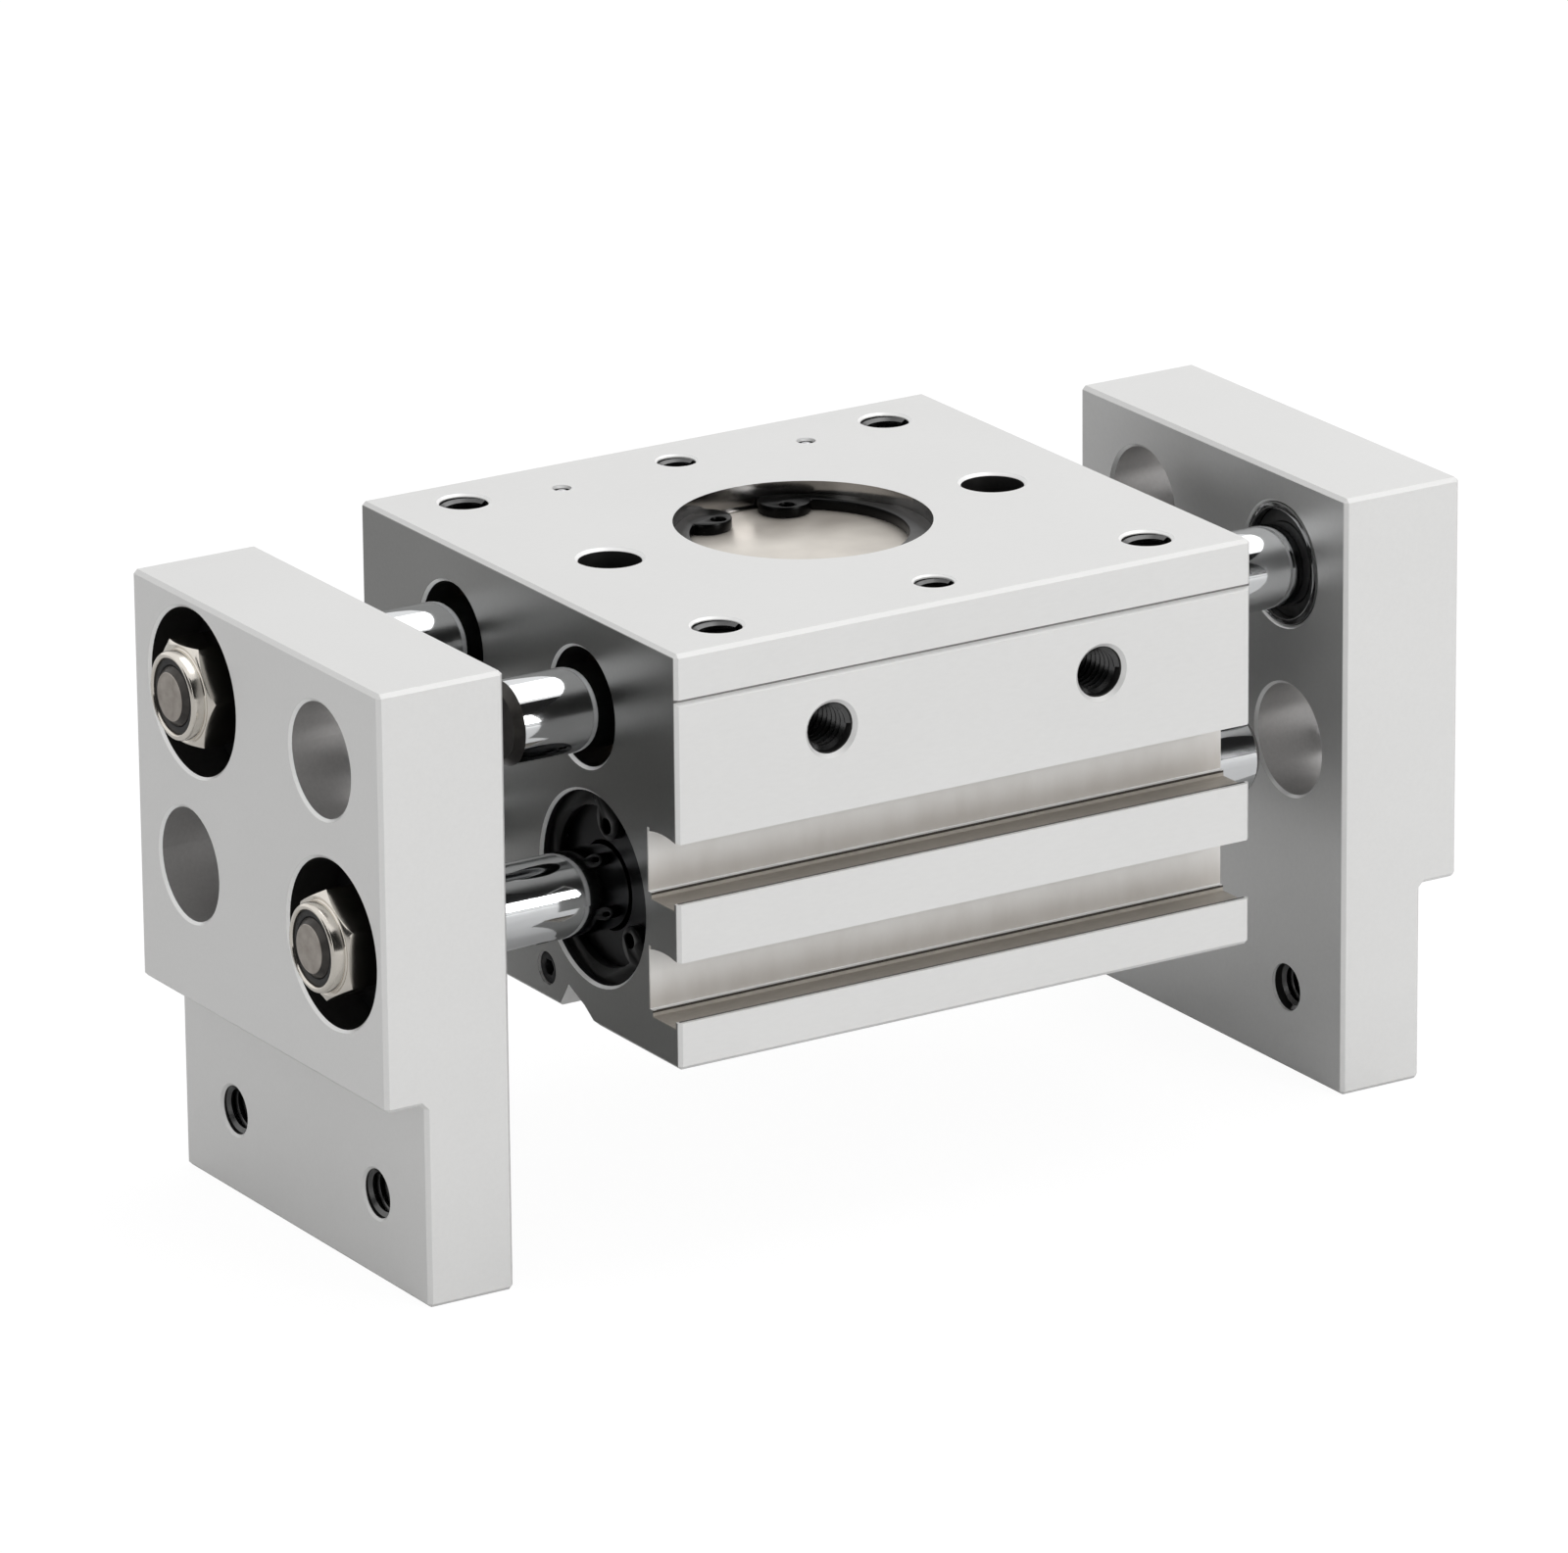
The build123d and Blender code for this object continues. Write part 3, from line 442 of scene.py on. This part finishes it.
def aluminium(name, zones, turned_over, stretch=(1, 1, 1)):
    """Clear satin anodised aluminium, with other finishes, painted shade and painted highlights in
    the boxes of its zones.
    """
    material, tree, shader, place = new_material(name)
    split = tree.nodes.new("ShaderNodeSeparateXYZ")
    wire(tree, place, split.inputs[0])
    x, y, z = split.outputs
    distance = math_node(tree, "ABSOLUTE", x)
    across = math_node(tree, "MULTIPLY", y, math_node(tree, "SIGN", x)) if turned_over else y
    fine = noise_node(tree, place, 2600.0, 4.0, stretch)
    broad = noise_node(tree, place, 45.0, 2.0)
    both = math_node(tree, "MULTIPLY_ADD", fine, 0.5, math_node(tree, "MULTIPLY", broad, 0.5))
    tone = spread(tree, both, 0.0, 1.0)
    light, dark, roughness, metallic = ANODISED
    colour = mix_colours(tree, tone, dark, light)
    for finish, boxes in zones:
        share = None
        for low, high in boxes:
            one = product(
                tree,
                inside(tree, distance, low[0], high[0]),
                inside(tree, across, low[1], high[1]),
                inside(tree, z, low[2], high[2]),
            )
            share = one if share is None else math_node(tree, "MAXIMUM", share, one)
        light, dark, zone_roughness, zone_metallic = finish
        zone_tone = groove_fade(tree, place, z) if finish is GROOVE_WALL else tone
        colour = mix_colours(tree, share, colour, mix_colours(tree, zone_tone, dark, light))
        roughness = change(tree, share, roughness, zone_roughness)
        metallic = change(tree, share, metallic, zone_metallic)
    wire(tree, colour, shader.inputs["Base Color"])
    grained = math_node(tree, "MULTIPLY", roughness, spread(tree, fine, 0.92, 1.08))
    wire(tree, grained, shader.inputs["Roughness"])
    wire(tree, metallic, shader.inputs["Metallic"])
    add_bump(tree, shader, fine, 0.05, 0.02)
    return material


def rod_chrome():
    """Hard chrome on the rods, with painted shade on their free ends and studs, and a plain sawn
    face on each stud.
    """
    material, tree, shader, place = new_material("chromed_rod")
    split = tree.nodes.new("ShaderNodeSeparateXYZ")
    wire(tree, place, split.inputs[0])
    x, y, z = split.outputs
    distance = math_node(tree, "ABSOLUTE", x)
    upper = math_node(tree, "SIGN", math_node(tree, "SUBTRACT", z, BETWEEN_ROD_ROWS * MM))
    far_side = math_node(tree, "GREATER_THAN", product(tree, x, y, upper), 0.0)
    past_start = math_node(tree, "GREATER_THAN", distance, ROD_END_START * MM)
    free_end = math_node(tree, "MULTIPLY", far_side, past_start)
    stud = math_node(tree, "GREATER_THAN", distance, STUD_START * MM)
    stud_face = math_node(tree, "GREATER_THAN", distance, STUD_FACE * MM)
    shaded_end = math_node(tree, "MAXIMUM", free_end, stud)
    fine = noise_node(tree, place, 900.0, 3.0, (0.3, 1, 1))
    tone = spread(tree, fine, 0.0, 1.0)
    colour = mix_colours(tree, tone, (0.70, 0.71, 0.72), (0.76, 0.77, 0.78))
    # Painted shade: near-black colour for the free rod ends and the studs
    dark = mix_colours(tree, tone, (0.05, 0.047, 0.045), (0.08, 0.075, 0.07))
    sawn = mix_colours(tree, tone, (0.30, 0.27, 0.24), (0.44, 0.405, 0.37))
    colour = mix_colours(tree, shaded_end, colour, dark)
    wire(tree, mix_colours(tree, stud_face, colour, sawn), shader.inputs["Base Color"])
    polish = spread(tree, fine, 0.05, 0.08)
    wire(tree, change(tree, shaded_end, polish, 0.34), shader.inputs["Roughness"])
    shader.inputs["Metallic"].default_value = 1.0
    add_bump(tree, shader, fine, 0.02, 0.02)
    return material


body_aluminium = aluminium("anodised_body", BODY_ZONES, False, (0.3, 1, 1))
finger_aluminium = aluminium("anodised_finger", FINGER_ZONES, True)
chromed_rod = rod_chrome()
plated_nut = metal("plated_nut", (0.78, 0.74, 0.68), (0.64, 0.60, 0.54), 0.17, 700.0, bump=0.05)
collar_steel = metal("turned_collar", (0.34, 0.34, 0.34), (0.24, 0.24, 0.24), 0.14)
spring_steel = metal("black_spring_steel", (0.014, 0.014, 0.014), (0.008, 0.008, 0.008), 0.3)
black_steel = metal("black_oxide_steel", (0.05, 0.05, 0.052), (0.02, 0.02, 0.022), 0.45)
ground_steel = metal("ground_steel", (0.60, 0.60, 0.61), (0.48, 0.48, 0.49), 0.22)
cover_plate = metal(
    "dull_cover_plate", (0.76, 0.72, 0.66), (0.46, 0.42, 0.375), 0.4, 180.0, metallic=0.5
)
black_anodised = metal("black_anodised", (0.03, 0.03, 0.032), (0.018, 0.018, 0.019), 0.38)
piston_aluminium = metal("turned_aluminium", (0.70, 0.70, 0.70), (0.60, 0.60, 0.60), 0.3)
# Dark brown bronze for the bushes deep in the bores
bronze = metal("dark_bronze", (0.13, 0.10, 0.07), (0.08, 0.06, 0.045), 0.42, 1800.0)
# Painted shade: thread ridges in dark grey, so that the tapped holes read dark inside
shaded_thread = metal("shaded_thread", (0.15, 0.15, 0.15), (0.07, 0.07, 0.07), 0.26)
black_rubber = rubber("black_rubber", (0.02, 0.02, 0.02), 0.6)
nylon = rubber("black_nylon", (0.01, 0.01, 0.01), 0.55)
magnet_block = rubber("bonded_magnet", (0.08, 0.075, 0.075), 0.6)
bearing_plastic = rubber("bearing_plastic", (0.33, 0.31, 0.28), 0.5)

SLOT_FINISHES = {
    "body_aluminium": body_aluminium,
    "finger_aluminium": finger_aluminium,
    "dark_aluminium": black_anodised,
    "piston_aluminium": piston_aluminium,
    "chromed_rod": chromed_rod,
    "plated_nut": plated_nut,
    "collar_steel": collar_steel,
    "blackened_steel": black_steel,
    "black_spring_steel": spring_steel,
    "cover_plate": cover_plate,
    "hardened_steel": ground_steel,
    "bronze": bronze,
    "black_rubber": black_rubber,
    "bonded_magnet": magnet_block,
    "bearing_plastic": bearing_plastic,
}

# Every carried-over node takes the finish of its slot
node_slots = {part["node"]: part["material_slot"] for part in frame["record"]["subparts"]}
for node_name, node_object in frame["nodes"].items():
    for material_slot in node_object.material_slots:
        material_slot.material = SLOT_FINISHES[node_slots[node_name]]
    if not node_object.material_slots:
        node_object.data.materials.append(SLOT_FINISHES[node_slots[node_name]])


def outward(side, distance, place):
    """Matrix that puts a piece made along +X at a distance on a side, at a place across it."""
    way = SIDES[side]
    turn = Matrix.Rotation(0 if way > 0 else pi, 4, "Z")
    return turn @ Matrix.Translation((distance * MM, place[0] * MM, place[1] * MM))


# Self-locking nut: a chamfered hexagon with a low rim that is rolled over a nylon ring
def lock_nut():
    bpy.ops.object.select_all(action="DESELECT")
    corner_radius = NUT_WIDTH / 2 / cos(pi / 6)
    bpy.ops.mesh.primitive_cylinder_add(
        vertices=6,
        radius=corner_radius * MM,
        depth=NUT_HEIGHT * MM,
        location=(NUT_HEIGHT / 2 * MM, 0, 0),
        rotation=(0, pi / 2, 0),
    )
    hexagon = bpy.context.object
    settle(hexagon)
    beyond_corners = corner_radius + 0.02
    dome = turned(
        "nut_dome",
        [
            (0.0, STUD_RADIUS + 0.02),
            (0.0, NUT_WIDTH / 2 * 0.97),
            (0.5, beyond_corners),
            (NUT_CORNER_HEIGHT, beyond_corners),
            (NUT_SHOULDER - 0.02, 4.95),
            (NUT_SHOULDER, 4.85),
            (NUT_SHOULDER - 0.12, 4.6),
            (NUT_SHOULDER, 4.5),
            (NUT_HEIGHT - 0.4, 4.48),
            (NUT_HEIGHT - 0.18, 4.38),
            (NUT_HEIGHT - 0.05, 4.2),
            (NUT_HEIGHT, 4.0),
            (NUT_HEIGHT - 0.06, 3.88),
            (NUT_HEIGHT - 0.2, NUT_RIM_RADIUS),
            (NUT_SHOULDER - 0.8, NUT_RIM_RADIUS),
            (NUT_SHOULDER - 0.8, STUD_RADIUS + 0.02),
        ],
        96,
    )
    cut(hexagon, dome, "INTERSECT")
    soften(hexagon, 0.08, 2, 28.0)
    smooth(hexagon, 32.0)
    return hexagon


def nylon_ring():
    """Ring that grips the stud inside the nut's rim."""
    ring = turned(
        "nut_insert",
        [
            (NUT_SHOULDER - 0.75, STUD_RADIUS + 0.02),
            (NUT_SHOULDER - 0.75, NUT_RIM_RADIUS - 0.02),
            (NUT_HEIGHT - 0.4, NUT_RIM_RADIUS - 0.02),
            (NUT_HEIGHT - 0.35, NUT_RIM_RADIUS - 0.1),
            (NUT_HEIGHT - 0.35, STUD_RADIUS + 0.15),
            (NUT_HEIGHT - 0.5, STUD_RADIUS + 0.02),
        ],
        64,
    )
    smooth(ring, 40.0)
    return ring


def dished_washer():
    """Washer whose rim is rounded and whose middle is raised a little."""
    top = WASHER_THICKNESS
    washer = turned(
        "dished_washer",
        [
            (0.0, STUD_RADIUS + 0.2),
            (0.0, WASHER_RADIUS - 0.15),
            (0.15, WASHER_RADIUS),
            (top - 0.6, WASHER_RADIUS),
            (top - 0.4, WASHER_RADIUS - 0.2),
            (top - 0.02, 5.2),
            (top, 5.0),
            (top, STUD_RADIUS + 0.3),
            (top - 0.1, STUD_RADIUS + 0.2),
        ],
        72,
    )
    smooth(washer, 35.0)
    return washer


nut_pattern = lock_nut()
ring_pattern = nylon_ring()
washer_pattern = dished_washer()

# Degrees by which the nut at each place is turned on from a corner on top
NUT_TURNS = {RACK_PLACE: 4.0, PISTON_PLACE: 28.0}
for side in SIDES:
    seats = [
        outward(side, WASHER_FACE + WASHER_THICKNESS, place) @ Matrix.Rotation(radians(turn), 4, "X")
        for place, turn in NUT_TURNS.items()
    ]
    floors = [outward(side, WASHER_FACE, place) for place in NUT_TURNS]
    body = side + "_jaw"
    nuts = copies(nut_pattern, side + "_lock_nuts", seats)
    finish_piece(nuts, body, plated_nut)
    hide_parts(side + "_rod_nuts")
    rings = copies(ring_pattern, side + "_nut_inserts", seats)
    finish_piece(rings, body, nylon)
    washers = copies(washer_pattern, side + "_dished_washers", floors)
    finish_piece(washers, body, black_steel)
    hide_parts(side + "_rod_washers")
for pattern in (nut_pattern, ring_pattern, washer_pattern):
    bpy.data.objects.remove(pattern)


def thread_ridge(name, radius, pitch, height, length):
    """Ridge of an internal thread that runs down from the mouth of a hole along -Z."""
    bpy.ops.object.select_all(action="DESELECT")
    bpy.ops.mesh.primitive_circle_add(vertices=4, radius=1.0 * MM, fill_type="NGON")
    ridge = bpy.context.object
    ridge.name = name
    section = [
        (radius - 0.01, 0.45 * pitch),
        (radius - 0.01, -0.45 * pitch),
        (radius - height, -0.08 * pitch),
        (radius - height, 0.08 * pitch),
    ]
    for vertex, (reach, rise) in zip(ridge.data.vertices, section):
        vertex.co = (reach * MM, 0, rise * MM)
    turns = int((length - pitch) / pitch)
    screw = ridge.modifiers.new("thread", "SCREW")
    screw.axis = "Z"
    screw.screw_offset = -pitch * MM
    screw.iterations = turns
    screw.steps = THREAD_SEGMENTS
    screw.render_steps = THREAD_SEGMENTS
    screw.use_merge_vertices = False
    apply_modifier(ridge, screw)
    ridge.data.transform(Matrix.Translation((0, 0, -pitch * 0.55 * MM)))
    enter_edit(ridge)
    bpy.ops.mesh.remove_doubles(threshold=0.001 * MM)
    bpy.ops.mesh.normals_make_consistent(inside=False)
    leave_edit()
    smooth(ridge, 30.0)
    return ridge


def threads(name, thread, depth, mouths, body):
    """Thread ridges in a set of holes; each mouth is a matrix whose +Z looks out of the hole."""
    radius, pitch = thread
    pattern = thread_ridge(name + "_pattern", radius, pitch, 0.55 * pitch, depth - THREAD_MOUTH)
    pattern.data.transform(Matrix.Translation((0, 0, -THREAD_MOUTH * MM)))
    piece = copies(pattern, name, mouths)
    bpy.data.objects.remove(pattern)
    finish_piece(piece, body, shaded_thread)


def hole_mouth(x, y, z, axis="Z", way=1):
    """Matrix that puts a hole's mouth at a place, looking out along an axis."""
    turns = {
        ("Z", 1): Matrix.Identity(4),
        ("Y", -1): Matrix.Rotation(pi / 2, 4, "X"),
        ("X", 1): Matrix.Rotation(pi / 2, 4, "Y"),
        ("X", -1): Matrix.Rotation(-pi / 2, 4, "Y"),
    }
    return Matrix.Translation((x * MM, y * MM, z * MM)) @ turns[(axis, way)]


corner_mouths = [hole_mouth(x, y, 0) for x in (-25, 25) for y in (-24, 24)]
threads("corner_threads", M5, 10.0, corner_mouths, "housing")
centre_mouths = [hole_mouth(0, y, 0) for y in (-24, 24)]
threads("centre_threads", M4, 8.0, centre_mouths, "housing")
port_mouths = [hole_mouth(x, BODY_FRONT + 0.25, -10.7, "Y", -1) for x in (-15.7, 15.7)]
threads("port_threads", M5, 7.7, port_mouths, "housing")
for side, way in SIDES.items():
    tip_mouths = [hole_mouth(way * TIP_OUTER, y, -55.0, "X", way) for y in (-14, 14)]
    threads(side + "_tip_threads", M5, 9.6, tip_mouths, side + "_jaw")

# Snap rings, cover plate and the other small turned or stamped pieces, with their edges rounded
softened_copy("pinion_cover_ring", "cover_snap_ring", 0.18, "housing")
softened_copy("pinion_cover", "cover_disc", 0.2, "housing")
for side in SIDES:
    for end in (side + "_front", side + "_back"):
        softened_copy(end + "_snap_ring", end + "_bore_ring", 0.15, "housing")
    softened_copy(side + "_rod_collars", side + "_cup_collars", 0.12, side + "_jaw")
    softened_copy(side + "_rod_wipers", side + "_wiper_rings", 0.2, side + "_jaw")
    softened_copy(side + "_end_plug", side + "_socket_plug", 0.12, "housing")

# Pale floor under the fingertips; the camera sees mostly its glow, with some of the shadow
FLOOR_GLOW_SHARE = 0.85
floor_level = cad_box[0].z
bpy.ops.object.select_all(action="DESELECT")
bpy.ops.mesh.primitive_plane_add(size=8.0, location=(0, 0, floor_level))
floor = bpy.context.object
floor.name = "floor"
settle(floor)
floor_material, floor_tree, floor_shader, floor_place = new_material("pale_floor")
floor_tone = spread(floor_tree, noise_node(floor_tree, floor_place, 3.0), 0.0, 1.0)
floor_colour = mix_colours(floor_tree, floor_tone, (0.66, 0.66, 0.66), (0.69, 0.69, 0.69))
wire(floor_tree, floor_colour, floor_shader.inputs["Base Color"])
floor_shader.inputs["Roughness"].default_value = 0.9
floor_glow = floor_tree.nodes.new("ShaderNodeEmission")
floor_glow.inputs["Strength"].default_value = 1.1
floor_mix = floor_tree.nodes.new("ShaderNodeMixShader")
floor_path = floor_tree.nodes.new("ShaderNodeLightPath")
floor_seen = floor_path.outputs["Is Camera Ray"]
floor_seen = math_node(floor_tree, "MULTIPLY", floor_seen, FLOOR_GLOW_SHARE)
wire(floor_tree, floor_seen, floor_mix.inputs[0])
wire(floor_tree, floor_shader.outputs[0], floor_mix.inputs[1])
wire(floor_tree, floor_glow.outputs[0], floor_mix.inputs[2])
wire(floor_tree, floor_mix.outputs[0], floor_tree.nodes["Material Output"].inputs["Surface"])
floor.data.materials.append(floor_material)

# White background, and a softer world for the light that falls on the object
world = bpy.data.worlds.new("studio")
bpy.context.scene.world = world
world.use_nodes = True
sky = world.node_tree
sky_light = sky.nodes["Background"]
sky_light.inputs["Color"].default_value = (1, 1, 1, 1)
sky_light.inputs["Strength"].default_value = 0.55
sky_seen = sky.nodes.new("ShaderNodeBackground")
sky_seen.inputs["Color"].default_value = (1, 1, 1, 1)
sky_seen.inputs["Strength"].default_value = 1.0
sky_path = sky.nodes.new("ShaderNodeLightPath")
seen_share = sky_path.outputs["Is Camera Ray"]
for ray in ("Is Glossy Ray", "Is Transmission Ray"):
    seen_share = math_node(sky, "MAXIMUM", seen_share, sky_path.outputs[ray])
sky_mix = sky.nodes.new("ShaderNodeMixShader")
wire(sky, seen_share, sky_mix.inputs[0])
wire(sky, sky_light.outputs[0], sky_mix.inputs[1])
wire(sky, sky_seen.outputs[0], sky_mix.inputs[2])
wire(sky, sky_mix.outputs[0], sky.nodes["World Output"].inputs["Surface"])


def soft_light(name, place, size, power, target=(0, 0, -0.03)):
    """Square studio light that looks at the gripper."""
    data = bpy.data.lights.new(name, "AREA")
    data.shape = "SQUARE"
    data.size = size
    data.energy = power
    lamp = bpy.data.objects.new(name, data)
    bpy.context.scene.collection.objects.link(lamp)
    lamp.location = place
    lamp.rotation_euler = (Vector(target) - Vector(place)).to_track_quat("-Z", "Y").to_euler()
    return lamp


soft_light("overhead_light", (0.5, 0.1, 1.1), 1.2, 6.3)
soft_light("front_light", (0.45, -1.05, 0.28), 0.4, 4.5)
side_fill = soft_light("side_fill", (-1.0, -0.85, 0.12), 0.5, 2.4)
side_fill.visible_glossy = False


def dark_card(name, place, width, height):
    """Black card that polished metal reflects; the camera and soft light don't see it."""
    bpy.ops.object.select_all(action="DESELECT")
    bpy.ops.mesh.primitive_plane_add(size=1.0)
    card = bpy.context.object
    card.name = name
    aim = (Vector((0, 0, -0.03)) - Vector(place)).to_track_quat("Z", "Y").to_matrix().to_4x4()
    card.data.transform(Matrix.Translation(place) @ aim @ Matrix.Diagonal((width, height, 1, 1)))
    card.visible_camera = False
    card.visible_diffuse = False
    card.visible_shadow = False
    material, tree, shader, cloth_place = new_material(name + "_cloth")
    weave = spread(tree, noise_node(tree, cloth_place, 400.0), 0.0, 1.0)
    black = mix_colours(tree, weave, (0.01, 0.01, 0.01), (0.02, 0.02, 0.02))
    wire(tree, black, shader.inputs["Base Color"])
    shader.inputs["Roughness"].default_value = 1.0
    card.data.materials.append(material)


dark_card("front_flag", (0.6, -1.3, 0.75), 2.6, 1.5)
dark_card("side_flag", (-0.85, -1.12, 0.7), 1.5, 1.4)
dark_card("left_flag", (-1.27, 0.22, 0.14), 0.9, 0.45)

# Camera at the photograph's viewing angle: a long lens from the front left, a little above
IMAGE_WIDTH = 1600
IMAGE_HEIGHT = 1585
FOCAL_PIXELS = 11811.86
CENTRE_PIXEL = (787.98, 788.11)
SENSOR_WIDTH = 36.0
camera_data = bpy.data.cameras.new("camera")
camera_data.sensor_width = SENSOR_WIDTH
camera_data.sensor_fit = "HORIZONTAL"
camera_data.lens = FOCAL_PIXELS / IMAGE_WIDTH * SENSOR_WIDTH
camera_data.shift_x = (IMAGE_WIDTH / 2 - CENTRE_PIXEL[0]) / IMAGE_WIDTH
camera_data.shift_y = (CENTRE_PIXEL[1] - IMAGE_HEIGHT / 2) / IMAGE_WIDTH
camera_data.clip_end = 20.0
camera = bpy.data.objects.new("camera", camera_data)
bpy.context.scene.collection.objects.link(camera)
camera_right = Vector((0.846991, -0.531527, -0.009283))
camera_up = Vector((0.178116, 0.267288, 0.947012))
camera_back = Vector((-0.500881, -0.803764, 0.321064))
camera_place = Vector((-0.58383, -0.93062, 0.34592))
camera_turn = Matrix((camera_right, camera_up, camera_back)).transposed().to_4x4()
camera.matrix_world = Matrix.Translation(camera_place) @ camera_turn
bpy.context.scene.camera = camera

bpy.context.scene.view_settings.view_transform = "Standard"
